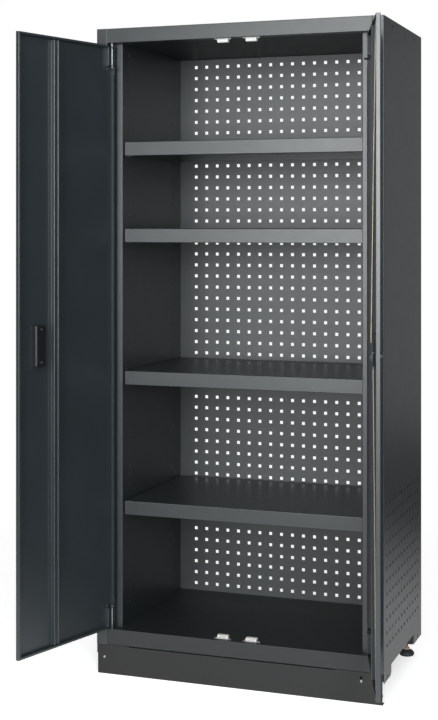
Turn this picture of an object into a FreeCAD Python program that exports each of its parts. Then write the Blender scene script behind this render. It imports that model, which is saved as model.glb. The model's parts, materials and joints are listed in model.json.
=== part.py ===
import FreeCAD, Part
import math
import os

V = FreeCAD.Vector

# Tall two-door cabinet in folded sheet, in millimetres.
# X runs to the right, Y into the cabinet and Z up. The origin is on the floor, in the middle of
# the plinth's bottom lip. Doors are modelled closed on the right-hand side, then hung open.

# Carcass
WIDTH = 904.0
DEPTH = 512.0
HEIGHT = 1978.0
SHEET = 1.2
BEND = 2.0
FIT = 0.2
LINTEL = 44.5
RAIL_BOTTOM = 90.0
RAIL = 48.4
RAIL_LIP = 12.0

# Side walls: outer panel and inner wall with a hollow between them
FRONT_FLANGE = 35.0
FLANGE_LIP = 12.0
REAR_FLANGE = 28.0
WALL_HOLLOW = 72.0
POST_SETBACK = 32.0
TAB_BOTTOM = 61.0
TAB_FRONT = 3.0
NOTCH_FRONT = 86.0
NOTCH_REAR = 115.0
NOTCH_TOP = 92.0
ROOF_FLANGE = 12.0
TRAY_FLANGE = 20.0
CEILING_OVERLAP = 12.0

# Square-hole perforation of the back and of the lower sides
HOLE = 10.0
PITCH_ACROSS = 38.0
PITCH_UP = 37.2
PERFORATION_MARGIN_ACROSS = 50.0
PERFORATION_MARGIN_UP = 20.0
SIDE_FIELD_FRONT = 39.0
SIDE_FIELD_REAR = 45.0
SIDE_FIELD_ROWS = 12

# Joining holes through the sides
JOIN_RADIUS = 4.5
JOIN_TOP_DROP = 18.5
JOIN_TOP_FRONT = 108.0
JOIN_TOP_REAR = 101.0
JOIN_BOTTOM_RISE = 12.0
JOIN_BOTTOM_FRONT = 44.0
JOIN_BOTTOM_REAR = 58.0

# Rivets that hold the back panel
RIVET_RADIUS = 1.6
RIVET_HEAD_RADIUS = 3.2
RIVET_HEAD = 1.2
RIVET_BULB_RADIUS = 2.6
RIVET_BULB = 2.0
RIVET_INSET = 15.0
RIVET_END = 110.0
RIVET_SPACING = 220.0
RIVET_CLEARANCE = 0.1

# Shelf slots and shelves
SLOT_WIDTH = 4.0
SLOT_HEIGHT = 10.0
SLOT_STEP = 19.1
SLOT_STAGGER = 12.0
SLOT_FIRST_RISE = 45.8
SLOT_TOP_MARGIN = 30.0
SLOT_FRONT = 76.0
SLOT_REAR = 82.0
SHELF_SLOTS = (74, 60, 37, 16)
SHELF_SETBACK = 45.0
SHELF_REAR_GAP = 8.0
SHELF_SIDE_GAP = 2.5
SHELF_HEIGHT = 43.0
SHELF_LIP = 14.0
SHELF_DROP = 8.0
CLIP_PLATE = 1.5
CLIP_WIDTH = 16.0
CLIP_RISE = 6.0
CLIP_LEDGE = 12.0
CLIP_LEDGE_THICKNESS = 2.0
HOOK_WIDTH = 3.0
HOOK_HEIGHT = 6.0
HOOK_LENGTH = 3.0
HOOK_DROP = 4.0

# Plinth, foot brackets and feet
PLINTH_INSET = 4.0
PLINTH_GAP = 2.5
PLINTH_LIP = 24.0
PLINTH_TOP_LIP = 18.0
PLINTH_SCREW_INSET = 26.0
PLINTH_SCREW_Z = 51.6
PLINTH_SLOT_INSET = 67.0
PLINTH_SLOT_Z = 68.5
PLINTH_SLOT_WIDTH = 6.0
PLINTH_SLOT_HEIGHT = 18.0
PLINTH_LEFT_TAB = 103.0
PLINTH_RIGHT_TAB = 141.0
BRACKET_SHEET = 3.0
BRACKET_BEND = 4.0
BRACKET_WIDTH = 78.6
BRACKET_FRONT_LENGTH = 81.0
BRACKET_REAR_LENGTH = 110.0
BRACKET_LIP_GAP = 1.0
BRACKET_REAR_GAP = 4.0
LUG_WIDTH = 28.0
LUG_DROP = 25.0
FOOT_INSET = 41.0
FOOT_FRONT = 58.0
FOOT_REAR = 30.0
PAD_RADIUS = 24.5
PAD_RIM = 5.0
PAD_HEIGHT = 18.0
PAD_NECK_RADIUS = 9.0
STEM_RADIUS = 5.0
STEM_CLEARANCE = 0.06
STEM_TOP_GAP = 2.0
STEM_HOLE_RADIUS = 5.6
HEX_WIDTH = 17.0
HEX_HEIGHT = 6.0
NUT_WIDTH = 16.0
NUT_HEIGHT = 8.0

# Doors
DOOR_THICKNESS = 13.0
DOOR_LIP = 7.0
DOOR_MIDDLE_GAP = 3.5
DOOR_TOP_GAP = 7.5
DOOR_BOTTOM_GAP = 3.0
STOP_GAP = 0.33
PIVOT_IN = 8.7
PIVOT_BACK = 9.0
LEFT_OPEN_ANGLE = 106.4
RIGHT_OPEN_ANGLE = 107.4
STIFFENER_FROM_EDGE = 153.0
STIFFENER_WIDTH = 23.0
STIFFENER_FOOT = 10.0
STIFFENER_RIDGE = 7.0
STIFFENER_DIP = 4.0
STIFFENER_END_GAP = 4.0
STIFFENER_PROUD = 3.0

# Hinges
PIN_RADIUS = 3.0
PIN_CLEARANCE = 0.06
PIN_REACH = 9.0
PIN_BEND = 6.0
UPPER_PIN_ARM = 12.5
LOWER_PIN_ARM = 25.0
PIN_TRAVEL = 12.0
PIN_TAIL = 2.0
PIN_DOOR_HOLE_RADIUS = 3.6
HINGE_SHEET = 2.0
HINGE_EAR = 3.0
HINGE_EAR_WALL = 0.8
HINGE_WIDTH = 28.0
HINGE_HEIGHT = 58.0
HINGE_END_GAP = 4.0
BUSH_RADIUS = 5.0
BUSH_COLLAR_RADIUS = 8.0
BUSH_COLLAR = 1.5
BUSH_TAIL = 3.0

# Flush pull of the left door
PULL_FROM_EDGE = 87.5
PULL_Z = 1028.0
PULL_WIDTH = 43.0
PULL_HEIGHT = 118.0
PULL_DEPTH = 17.0
PULL_WALL = 3.0
PULL_GRIP = 11.0
PULL_BEZEL = 5.0
PULL_BEZEL_THICKNESS = 2.5
PULL_ROUND = 6.0
PULL_SCREW_SPACING = 96.0
CUTOUT_CLEARANCE = 0.3

# Lock of the right door
LOCK_FROM_EDGE = 86.0
LOCK_WIDTH = 44.0
LOCK_HEIGHT = 95.0
LOCK_DEPTH = 13.0
LOCK_AXIS_DROP = 16.0
LOCK_WALL = 2.0
LOCK_BEZEL = 6.0
LOCK_BEZEL_THICKNESS = 2.0
KNOB_GAP = 2.0
KNOB_BASE = 5.0
WING_INSET = 1.0
WING_WIDTH = 15.0
WING_PROUD = 10.0
SPINDLE_RADIUS = 5.0
SPINDLE_END_RADIUS = 2.5
SPINDLE_CLEARANCE = 0.06
KEY_PLUG_RADIUS = 4.5
KEY_PLUG_LENGTH = 14.0
KEY_PLUG_PROUD = 0.5
KEY_SLOT_WIDTH = 1.4
KEY_SLOT_LENGTH = 6.0
KEY_SLOT_DEPTH = 9.0
CAM_THICKNESS = 1.5
CAM_END_RADIUS = 5.0
CAM_PIN_RADIUS = 2.0
CAM_PIN_ORBIT = 14.0
CAM_PIN_TIP = 0.5
CAM_NUT_WIDTH = 8.5
CAM_NUT_HEIGHT = 4.5
LOCK_TURN = 90.0
ROD_RADIUS = 3.0
ROD_OFFSET = 12.0
ROD_END_DEPTH = 6.5
ROD_PLATE = 2.0
ROD_PLATE_GAP = 0.5
ROD_PLATE_MARGIN = 2.0
ROD_START = 33.0
ROD_OVERLAP = 6.0
ROD_SLOT_CLEARANCE = 1.0
ROD_SLOT_END_CLEARANCE = 0.5
ROD_CLEARANCE = 0.06
KEEPER_CLEARANCE = 1.0
GUIDE_RADIUS = 4.2
GUIDE_COLLAR_RADIUS = 5.0
GUIDE_COLLAR = 1.5

# Magnetic catches
CATCH_X = 45.0
CATCH_DOOR_GAP = 0.6
CATCH_PLATE_WIDTH = 54.0
CATCH_PLATE_THICKNESS = 1.5
CATCH_DEPTH = 14.0
CATCH_WIDTH = 33.0
CATCH_HEIGHT = 10.0
POLE_WIDTH = 25.0
POLE_THICKNESS = 1.6
POLE_SPACING = 5.0
POLE_DEPTH = 8.0
POLE_PROUD = 0.3
CATCH_SCREW_SPACING = 44.0

# Pan-head screws
SCREW_RADIUS = 2.4
SCREW_CLEARANCE = 0.2
SCREW_HEAD_RADIUS = 4.5
SCREW_HEAD = 2.6
SMALL_SCREW_HEAD_RADIUS = 3.2
SMALL_SCREW_HEAD = 1.8

# Planes that several pieces share
HALF = WIDTH / 2
FRONT = -PLINTH_LIP / 2
BACK = FRONT + DEPTH
SKIN_INSIDE = HALF - SHEET
WALL_FACE = HALF - WALL_HOLLOW
LINTEL_BOTTOM = HEIGHT - LINTEL
FLOOR_TOP = RAIL_BOTTOM + RAIL
TRAY_TOP = RAIL_BOTTOM + SHEET
BACK_FACE = BACK - 2 * SHEET
WALL_FLANGE_END = SKIN_INSIDE - BEND - 2 * FIT
FRAME_HALF = HALF - FRONT_FLANGE - FIT
PLINTH_TOP = RAIL_BOTTOM - PLINTH_GAP
PLINTH_HALF = HALF - PLINTH_INSET
PLINTH_SCREW_X = HALF - PLINTH_SCREW_INSET
PLINTH_SLOT_X = HALF - PLINTH_SLOT_INSET
BRACKET_START = PLINTH_TOP_LIP + BRACKET_LIP_GAP
DOOR_FREE_EDGE = DOOR_MIDDLE_GAP / 2
DOOR_BOTTOM = FLOOR_TOP + DOOR_BOTTOM_GAP
DOOR_TOP = LINTEL_BOTTOM - DOOR_TOP_GAP
DOOR_MIDDLE = (DOOR_BOTTOM + DOOR_TOP) / 2
OPEN = math.radians(max(LEFT_OPEN_ANGLE, RIGHT_OPEN_ANGLE))
PIVOT_REACH = (PIVOT_BACK * (1 - math.cos(OPEN)) + STOP_GAP) / math.sin(OPEN)
PIVOT = V(HALF - FRONT_FLANGE - PIVOT_REACH, FRONT + PIVOT_BACK, 0)
DOOR_HINGE_EDGE = PIVOT.x + PIVOT_IN
LOCK_X = DOOR_FREE_EDGE + LOCK_FROM_EDGE
LOCK_CENTRE = V(LOCK_X, FRONT, PULL_Z)
HOUSING_CENTRE = LOCK_CENTRE + V(0, 0, LOCK_AXIS_DROP)
KNOB_RADIUS = LOCK_WIDTH / 2 - LOCK_WALL - KNOB_GAP
CAM_FACE = LOCK_DEPTH + ROD_PLATE + 2 * ROD_PLATE_GAP
CAM_BACK = CAM_FACE + CAM_THICKNESS
UPPER_ROD_DEPTH = CAM_BACK + ROD_PLATE_GAP + ROD_PLATE / 2
LOWER_ROD_DEPTH = CAM_FACE - ROD_PLATE_GAP - ROD_PLATE / 2
ROD_STROKE = 2 * CAM_PIN_ORBIT * math.sin(math.radians(LOCK_TURN / 2))
KEEPER_RADIUS = ROD_RADIUS + KEEPER_CLEARANCE
UPPER_ROD_X = LOCK_X + ROD_OFFSET
LOWER_ROD_X = LOCK_X - ROD_OFFSET
SLOT_COLUMNS = (SLOT_FRONT, DEPTH - SLOT_REAR)
SIDES = (-1, 1)


# Shape helpers

def box(x0, x1, y0, y1, z0, z1):
    low = V(min(x0, x1), min(y0, y1), min(z0, z1))
    return Part.makeBox(abs(x1 - x0), abs(y1 - y0), abs(z1 - z0), low)


def rod(radius, start, end):
    return Part.makeCylinder(radius, (end - start).Length, start, end - start)


def hexagon(width, centre, axis, height):
    corner = width / math.sqrt(3)
    side = V(1, 0, 0) if abs(axis.x) < 0.5 else V(0, 1, 0)
    across = axis.cross(side)
    points = []
    for k in range(7):
        angle = math.radians(60 * k)
        points.append(centre + side * (corner * math.cos(angle)) + across * (corner * math.sin(angle)))
    return Part.Face(Part.makePolygon(points)).extrude(axis * height)


def mirrored(shape):
    return shape.mirror(V(0, 0, 0), V(1, 0, 0))


def on_side(shape, side):
    return shape if side > 0 else mirrored(shape)


def pan_screw(face, axis, radius, head_radius, head, length):
    """Pan-head screw whose head sits on a face and whose shank runs against the axis."""
    shank = rod(radius, face - axis * length, face)
    cap = rod(head_radius, face, face + axis * head)
    rim = [edge for edge in cap.Edges if abs((edge.CenterOfMass - face).dot(axis) - head) < 0.01]
    return shank.fuse(cap.makeFillet(head * 0.6, rim)).removeSplitter()


def rounded_line(path, radius, thickness, offset):
    """Segments of a bent line moved to its left: two points for a straight, three for an arc."""
    segments = []
    left = [V(-(b - a).y, (b - a).x, 0).normalize() for a, b in zip(path, path[1:])]
    here = path[0] + left[0] * offset
    for i in range(1, len(path) - 1):
        along_in = (path[i] - path[i - 1]).normalize()
        along_out = (path[i + 1] - path[i]).normalize()
        turn = 1 if along_in.cross(along_out).z > 0 else -1
        base = radius if turn > 0 else radius - thickness
        reach = base * math.tan(along_in.getAngle(along_out) / 2)
        centre = path[i] - along_in * reach + left[i - 1] * (turn * base)
        outward = (path[i] - centre).normalize()
        start = path[i] - along_in * reach + left[i - 1] * offset
        end = path[i] + along_out * reach + left[i] * offset
        segments.append((here, start))
        segments.append((start, centre + outward * (base - turn * offset), end))
        here = end
    segments.append((here, path[-1] + left[-1] * offset))
    return segments


def bent_sheet(points, thickness, radius, place, run):
    """Folded sheet: a line on its outer face, thickness to the left of it, drawn out along run."""
    path = [V(a, b, 0) for a, b in points]
    outer = rounded_line(path, radius, thickness, 0)
    inner = rounded_line(path, radius, thickness, thickness)
    back = [tuple(reversed(segment)) for segment in reversed(inner)]
    loop = outer + [(outer[-1][-1], back[0][0])] + back + [(back[-1][-1], outer[0][0])]
    edges = []
    for segment in loop:
        ends = [place(point.x, point.y) for point in segment]
        if len(ends) == 2:
            edges.append(Part.LineSegment(ends[0], ends[1]).toShape())
        else:
            edges.append(Part.Arc(*ends).toShape())
    return Part.Face(Part.Wire(edges)).extrude(run)


def in_plan(z):
    return lambda x, y: V(x, y, z)


def across_x(x):
    return lambda y, z: V(x, y, z)


def along_y(y):
    return lambda x, z: V(x, y, z)


def edges_on(shape, axis, value):
    """Edges that lie wholly on the plane where one coordinate has this value."""
    found = []
    for edge in shape.Edges:
        limits = edge.BoundBox
        low, high = getattr(limits, axis + "Min"), getattr(limits, axis + "Max")
        if abs(low - value) < 0.01 and abs(high - value) < 0.01:
            found.append(edge)
    return found


def spread(start, end, pitch):
    """Evenly spaced places, centred between two limits."""
    count = int((end - start) / pitch) + 1
    first = (start + end - (count - 1) * pitch) / 2
    return [first + k * pitch for k in range(count)]


def save(name, pieces):
    shape = Part.makeCompound(pieces) if isinstance(pieces, list) else pieces
    shape.exportStep(os.path.join("parts", name + ".step"))


# Carcass

def perforation_rows():
    return spread(FLOOR_TOP + PERFORATION_MARGIN_UP, LINTEL_BOTTOM - PERFORATION_MARGIN_UP, PITCH_UP)


def rivet_places():
    heights = spread(RIVET_END, HEIGHT - RIVET_END, RIVET_SPACING)
    return [V(side * (HALF - RIVET_INSET), BACK, z) for side in SIDES for z in heights]


def rivet_holes():
    depth = 4 * SHEET
    return [rod(RIVET_RADIUS + RIVET_CLEARANCE, p - V(0, depth, 0), p + V(0, 1, 0)) for p in rivet_places()]


def side_panel(side):
    path = [
        (HALF - FRONT_FLANGE, FRONT + FLANGE_LIP),
        (HALF - FRONT_FLANGE, FRONT),
        (HALF, FRONT),
        (HALF, BACK),
        (HALF - REAR_FLANGE, BACK),
    ]
    panel = bent_sheet(path, SHEET, BEND, in_plan(TAB_BOTTOM), V(0, 0, HEIGHT - TAB_BOTTOM))
    outside = HALF + 1
    below = TAB_BOTTOM - 1
    flange_inside = HALF - FRONT_FLANGE - 1
    cuts = [
        box(flange_inside, outside, FRONT - 1, FRONT + TAB_FRONT, below, RAIL_BOTTOM),
        box(flange_inside, HALF - BEND, FRONT - 1, FRONT + FLANGE_LIP + 1, below, RAIL_BOTTOM),
        box(HALF - BEND, outside, FRONT + NOTCH_FRONT, BACK - NOTCH_REAR, below, NOTCH_TOP),
    ]
    inward = V(-2 * BEND, 0, 0)
    for y, z in joining_holes():
        cuts.append(rod(JOIN_RADIUS, V(outside, y, z), V(outside, y, z) + inward))
    columns = side_field_columns()
    for z in perforation_rows()[:SIDE_FIELD_ROWS]:
        for y in columns:
            cuts.append(box(HALF - BEND, outside, y - HOLE / 2, y + HOLE / 2, z - HOLE / 2, z + HOLE / 2))
    panel = panel.cut(Part.makeCompound(cuts))
    return on_side(panel, side).cut(Part.makeCompound(rivet_holes()))


def side_field_columns():
    count = int((DEPTH - SIDE_FIELD_FRONT - SIDE_FIELD_REAR) / PITCH_ACROSS) + 1
    return [FRONT + SIDE_FIELD_FRONT + k * PITCH_ACROSS for k in range(count)]


def joining_holes():
    top = HEIGHT - JOIN_TOP_DROP
    bottom = TAB_BOTTOM + JOIN_BOTTOM_RISE
    return [
        (FRONT + JOIN_TOP_FRONT, top),
        (BACK - JOIN_TOP_REAR, top),
        (FRONT + JOIN_BOTTOM_FRONT, bottom),
        (BACK - JOIN_BOTTOM_REAR, bottom),
    ]


def slot_places():
    """Height and depth of each slot in one wall, front and rear columns, staggered in pairs."""
    count = int((LINTEL_BOTTOM - SLOT_TOP_MARGIN - FLOOR_TOP - SLOT_FIRST_RISE) / SLOT_STEP) + 1
    return [(slot_height(n), slot_depth(column, n)) for column in SLOT_COLUMNS for n in range(count)]


def slot_height(n):
    return FLOOR_TOP + SLOT_FIRST_RISE + n * SLOT_STEP


def slot_depth(column, n):
    return FRONT + column + (n % 2) * SLOT_STAGGER


def inner_wall(side):
    path = [
        (WALL_FLANGE_END, BACK_FACE),
        (WALL_FACE, BACK_FACE),
        (WALL_FACE, FRONT + POST_SETBACK),
        (WALL_FLANGE_END, FRONT + POST_SETBACK),
    ]
    height = HEIGHT - SHEET - TRAY_TOP
    wall = bent_sheet(path, SHEET, BEND, in_plan(TRAY_TOP), V(0, 0, height))
    slots = []
    for z, y in slot_places():
        slots.append(box(WALL_FACE - 1, WALL_FACE + BEND, y - SLOT_WIDTH / 2, y + SLOT_WIDTH / 2,
                         z - SLOT_HEIGHT / 2, z + SLOT_HEIGHT / 2))
    wall = wall.cut(Part.makeCompound(slots))
    return on_side(wall, side).cut(Part.makeCompound(rivet_holes()))


def back_panel():
    half = SKIN_INSIDE - BEND
    low, high = TRAY_TOP, HEIGHT - SHEET - FIT

    def rectangle(x0, x1, z0, z1):
        corners = [V(x0, BACK_FACE, z0), V(x1, BACK_FACE, z0), V(x1, BACK_FACE, z1), V(x0, BACK_FACE, z1)]
        return Part.makePolygon(corners + corners[:1])

    wires = [rectangle(-half, half, low, high)]
    columns = spread(PERFORATION_MARGIN_ACROSS - WALL_FACE, WALL_FACE - PERFORATION_MARGIN_ACROSS,
                     PITCH_ACROSS)
    for x in columns:
        for z in perforation_rows():
            wires.append(rectangle(x + HOLE / 2, x - HOLE / 2, z - HOLE / 2, z + HOLE / 2))
    circle_axis = V(0, -1, 0)
    for place in rivet_places():
        circle = Part.Circle(V(place.x, BACK_FACE, place.z), circle_axis, RIVET_RADIUS + RIVET_CLEARANCE)
        wires.append(Part.Wire(circle.toShape()))
    return Part.Face(wires).extrude(V(0, SHEET, 0))


def roof_panel():
    path = [
        (BACK_FACE - FIT, HEIGHT),
        (FRONT, HEIGHT),
        (FRONT, LINTEL_BOTTOM),
        (FRONT + POST_SETBACK - FIT, LINTEL_BOTTOM),
    ]
    roof = bent_sheet(path, SHEET, BEND, across_x(-FRAME_HALF), V(2 * FRAME_HALF, 0, 0))
    edge = SKIN_INSIDE - FIT
    wing_front = FRONT + BEND + FIT
    path = [(edge, HEIGHT - ROOF_FLANGE), (edge, HEIGHT), (FRAME_HALF - BEND, HEIGHT)]
    wing = bent_sheet(path, SHEET, BEND, along_y(wing_front), V(0, BACK_FACE - FIT - wing_front, 0))
    lip_back = FRONT + FLANGE_LIP + FIT
    wing = wing.cut(box(FRAME_HALF - BEND - 1, HALF - FRONT_FLANGE + SHEET + FIT, FRONT, lip_back,
                        LINTEL_BOTTOM, HEIGHT + 1))
    roof = roof.fuse([wing, mirrored(wing)])
    roof = roof.removeSplitter()
    holes = [bush_hole(side, LINTEL_BOTTOM) for side in SIDES]
    holes.append(keeper_hole(UPPER_ROD_X, LINTEL_BOTTOM))
    return roof.cut(Part.makeCompound(holes))


def bush_hole(side, z):
    centre = V(side * PIVOT.x, PIVOT.y, z)
    return rod(BUSH_RADIUS + FIT / 2, centre - V(0, 0, 3), centre + V(0, 0, 3))


def keeper_hole(x, z):
    centre = V(x, FRONT + ROD_END_DEPTH, z)
    return rod(KEEPER_RADIUS, centre - V(0, 0, 3), centre + V(0, 0, 3))


def ceiling_panel():
    under = LINTEL_BOTTOM + SHEET
    path = [
        (FRONT + POST_SETBACK - CEILING_OVERLAP, under),
        (BACK_FACE, under),
        (BACK_FACE, HEIGHT - SHEET),
    ]
    half = WALL_FACE - FIT
    return bent_sheet(path, SHEET, BEND, across_x(-half), V(2 * half, 0, 0))


def floor_panel():
    path = [
        (BACK_FACE, TRAY_TOP),
        (BACK_FACE, FLOOR_TOP),
        (FRONT, FLOOR_TOP),
        (FRONT, RAIL_BOTTOM),
        (FRONT + RAIL_LIP, RAIL_BOTTOM),
    ]
    floor = bent_sheet(path, SHEET, BEND, across_x(-FRAME_HALF), V(2 * FRAME_HALF, 0, 0))
    cuts = []
    for side in SIDES:
        corner = box(WALL_FACE - FIT, FRAME_HALF + 1, FRONT + POST_SETBACK - FIT, BACK, RAIL_BOTTOM - 1,
                     FLOOR_TOP + 1)
        cuts.append(on_side(corner, side))
        cuts.append(bush_hole(side, FLOOR_TOP))
    cuts.append(keeper_hole(LOWER_ROD_X, FLOOR_TOP))
    return floor.cut(Part.makeCompound(cuts))


def base_tray():
    edge = SKIN_INSIDE - FIT
    path = [
        (-edge, RAIL_BOTTOM + TRAY_FLANGE),
        (-edge, RAIL_BOTTOM),
        (edge, RAIL_BOTTOM),
        (edge, RAIL_BOTTOM + TRAY_FLANGE),
    ]
    start = FRONT + RAIL_LIP + FIT
    return bent_sheet(path, SHEET, BEND, along_y(start), V(0, BACK_FACE - FIT - start, 0))


def back_rivets():
    rivets = []
    out = V(0, 1, 0)
    for place in rivet_places():
        inside = place - out * (4 * SHEET - SHEET)
        body = rod(RIVET_RADIUS, inside - out * RIVET_BULB, place)
        bulb = rod(RIVET_BULB_RADIUS, inside - out * RIVET_BULB, inside)
        head = rod(RIVET_HEAD_RADIUS, place, place + out * RIVET_HEAD)
        rivets.append(body.fuse([bulb, head]).removeSplitter())
    return rivets


# Plinth and feet

def plinth():
    path = [
        (FRONT + PLINTH_TOP_LIP, PLINTH_TOP),
        (FRONT, PLINTH_TOP),
        (FRONT, 0),
        (FRONT + PLINTH_LIP, 0),
    ]
    sheet = bent_sheet(path, SHEET, BEND, across_x(-PLINTH_HALF), V(2 * PLINTH_HALF, 0, 0))
    tab_bottom, tab_top = PLINTH_TOP - 2 * BEND, RAIL_BOTTOM - FIT
    left_tab = box(-PLINTH_HALF, PLINTH_LEFT_TAB - PLINTH_HALF, FRONT, FRONT + SHEET, tab_bottom, tab_top)
    right_tab = box(PLINTH_HALF - PLINTH_RIGHT_TAB, PLINTH_HALF, FRONT, FRONT + SHEET, tab_bottom, tab_top)
    sheet = sheet.fuse([left_tab, right_tab]).removeSplitter()
    cuts = []
    for side in SIDES:
        centre = V(side * PLINTH_SCREW_X, FRONT, PLINTH_SCREW_Z)
        cuts.append(rod(SCREW_RADIUS + SCREW_CLEARANCE, centre - V(0, 1, 0), centre + V(0, 3, 0)))
    cuts.append(box(PLINTH_SLOT_X - PLINTH_SLOT_WIDTH / 2, PLINTH_SLOT_X + PLINTH_SLOT_WIDTH / 2,
                    FRONT - 1, FRONT + 3, PLINTH_SLOT_Z - PLINTH_SLOT_HEIGHT / 2,
                    PLINTH_SLOT_Z + PLINTH_SLOT_HEIGHT / 2))
    return sheet.cut(Part.makeCompound(cuts))


def plinth_screws():
    out = V(0, -1, 0)
    length = SHEET + BRACKET_SHEET + 2
    screws = []
    for side in SIDES:
        face = V(side * PLINTH_SCREW_X, FRONT, PLINTH_SCREW_Z)
        screws.append(pan_screw(face, out, SCREW_RADIUS, SCREW_HEAD_RADIUS, SCREW_HEAD, length))
    return screws


def foot_places():
    x = HALF - FOOT_INSET
    places = {}
    for end, y in (("front", FRONT + FOOT_FRONT), ("rear", BACK - FOOT_REAR)):
        places[end + "_left"] = V(-x, y, 0)
        places[end + "_right"] = V(x, y, 0)
    return places


def foot_brackets():
    outside = SKIN_INSIDE - FIT
    inside = outside - BRACKET_WIDTH
    path = [(inside, RAIL_BOTTOM), (inside, TAB_BOTTOM), (outside, TAB_BOTTOM), (outside, RAIL_BOTTOM)]
    front_start = FRONT + BRACKET_START
    rear_end = BACK_FACE - BRACKET_REAR_GAP
    spans = ((front_start, BRACKET_FRONT_LENGTH), (rear_end - BRACKET_REAR_LENGTH, BRACKET_REAR_LENGTH))
    brackets = []
    for side in SIDES:
        for start, length in spans:
            channel = bent_sheet(path, BRACKET_SHEET, BRACKET_BEND, along_y(start), V(0, length, 0))
            if start == front_start:
                channel = channel.fuse(plinth_lug()).removeSplitter()
                channel = channel.cut(lug_hole())
            for place in foot_places().values():
                centre = V(abs(place.x), place.y, TAB_BOTTOM)
                channel = channel.cut(rod(STEM_HOLE_RADIUS, centre - V(0, 0, 1), centre + V(0, 0, 5)))
            for y, z in joining_holes()[2:]:
                centre = V(outside, y, z)
                channel = channel.cut(rod(JOIN_RADIUS, centre + V(1, 0, 0), centre - V(5, 0, 0)))
            brackets.append(on_side(channel, side))
    return brackets


def plinth_lug():
    """Tongue at the front of a foot bracket that takes the plinth's screw."""
    x0, x1 = PLINTH_SCREW_X - LUG_WIDTH / 2, PLINTH_SCREW_X + LUG_WIDTH / 2
    face = FRONT + SHEET
    root = TAB_BOTTOM + BRACKET_SHEET
    plate = box(x0, x1, face, FRONT + BRACKET_START + 1, TAB_BOTTOM, root)
    tongue = box(x0, x1, face, face + BRACKET_SHEET, TAB_BOTTOM - LUG_DROP, root)
    return plate.fuse(tongue)


def lug_hole():
    centre = V(PLINTH_SCREW_X, FRONT, PLINTH_SCREW_Z)
    return rod(SCREW_RADIUS + FIT / 2, centre, centre + V(0, SHEET + BRACKET_SHEET + 2, 0))


def foot_weld_nuts():
    nuts = []
    for place in foot_places().values():
        seat = V(place.x, place.y, TAB_BOTTOM + BRACKET_SHEET)
        nut = hexagon(NUT_WIDTH, seat, V(0, 0, 1), NUT_HEIGHT)
        nuts.append(nut.cut(rod(STEM_RADIUS + STEM_CLEARANCE, seat, seat + V(0, 0, NUT_HEIGHT))))
    return nuts


def foot_pad(place):
    rim, neck, shoulder = V(PAD_RADIUS, 0, PAD_RIM), V(PAD_NECK_RADIUS, 0, PAD_HEIGHT), PAD_RADIUS - 3
    bulge = V((PAD_RADIUS + PAD_NECK_RADIUS) / 2 + 3, 0, (PAD_RIM + PAD_HEIGHT) / 2 + 2)
    edges = [
        Part.LineSegment(V(0, 0, 0), V(shoulder, 0, 0)).toShape(),
        Part.LineSegment(V(shoulder, 0, 0), rim).toShape(),
        Part.Arc(rim, bulge, neck).toShape(),
        Part.LineSegment(neck, V(0, 0, PAD_HEIGHT)).toShape(),
        Part.LineSegment(V(0, 0, PAD_HEIGHT), V(0, 0, 0)).toShape(),
    ]
    pad = Part.Face(Part.Wire(edges)).revolve(V(0, 0, 0), V(0, 0, 1), 360)
    return pad.translated(place)


def foot_stem(place):
    up = V(0, 0, 1)
    seat = place + up * PAD_HEIGHT
    collar = hexagon(HEX_WIDTH, seat, up, HEX_HEIGHT)
    shank = rod(STEM_RADIUS, seat, place + up * (RAIL_BOTTOM - STEM_TOP_GAP))
    return collar.fuse(shank).removeSplitter()


# Shelves

def shelf_top(slot):
    return slot_height(slot) - SHELF_DROP + SHELF_HEIGHT


def shelf(slot):
    half = WALL_FACE - SHELF_SIDE_GAP
    front, rear = FRONT + SHELF_SETBACK, BACK_FACE - SHELF_REAR_GAP
    top = shelf_top(slot)
    bottom = top - SHELF_HEIGHT
    block = box(-half, half, front, rear, bottom, top)
    block = block.makeFillet(BEND, edges_on(block, "Z", top) + edges_on(block, "Z", bottom))
    inside = box(-half + SHEET, half - SHEET, front + SHEET, rear - SHEET, bottom + SHEET, top - SHEET)
    lip = SHELF_LIP
    mouth = box(-half + lip, half - lip, front + lip, rear - lip, bottom - 1, bottom + 2 * SHEET)
    return block.cut([inside, mouth])


def shelf_clips():
    clips = []
    for slot in SHELF_SLOTS:
        for column in SLOT_COLUMNS:
            clip = shelf_clip(slot, slot_depth(column, slot))
            clips += [on_side(clip, side) for side in SIDES]
    return clips


def shelf_clip(slot, y):
    z = slot_height(slot)
    ledge_top = z - SHELF_DROP
    outer = WALL_FACE - FIT
    inner = outer - CLIP_PLATE
    y0, y1 = y - CLIP_WIDTH / 2, y + CLIP_WIDTH / 2
    plate = box(inner, outer, y0, y1, ledge_top - CLIP_LEDGE_THICKNESS, z + CLIP_RISE)
    ledge = box(outer - CLIP_LEDGE - CLIP_PLATE, outer, y0, y1, ledge_top - CLIP_LEDGE_THICKNESS, ledge_top)
    slot_bottom = z - SLOT_HEIGHT / 2 + FIT
    behind = WALL_FACE + SHEET + FIT
    hook_y = (y - HOOK_WIDTH / 2, y + HOOK_WIDTH / 2)
    tongue = box(inner, behind + HOOK_LENGTH, *hook_y, slot_bottom, slot_bottom + HOOK_HEIGHT)
    tip = box(behind, behind + HOOK_LENGTH, *hook_y, slot_bottom - HOOK_DROP, slot_bottom + HOOK_HEIGHT)
    return plate.fuse([ledge, tongue, tip]).removeSplitter()


# Doors, modelled closed on the right

def hang(shape, side):
    """Put a piece of the closed right-hand door on its own door, standing open."""
    if side > 0:
        return shape.rotated(PIVOT, V(0, 0, 1), RIGHT_OPEN_ANGLE)
    pivot = V(-PIVOT.x, PIVOT.y, 0)
    return mirrored(shape).rotated(pivot, V(0, 0, 1), -LEFT_OPEN_ANGLE)


def upside_down(shape):
    return shape.mirror(V(0, 0, DOOR_MIDDLE), V(0, 0, 1))


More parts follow.
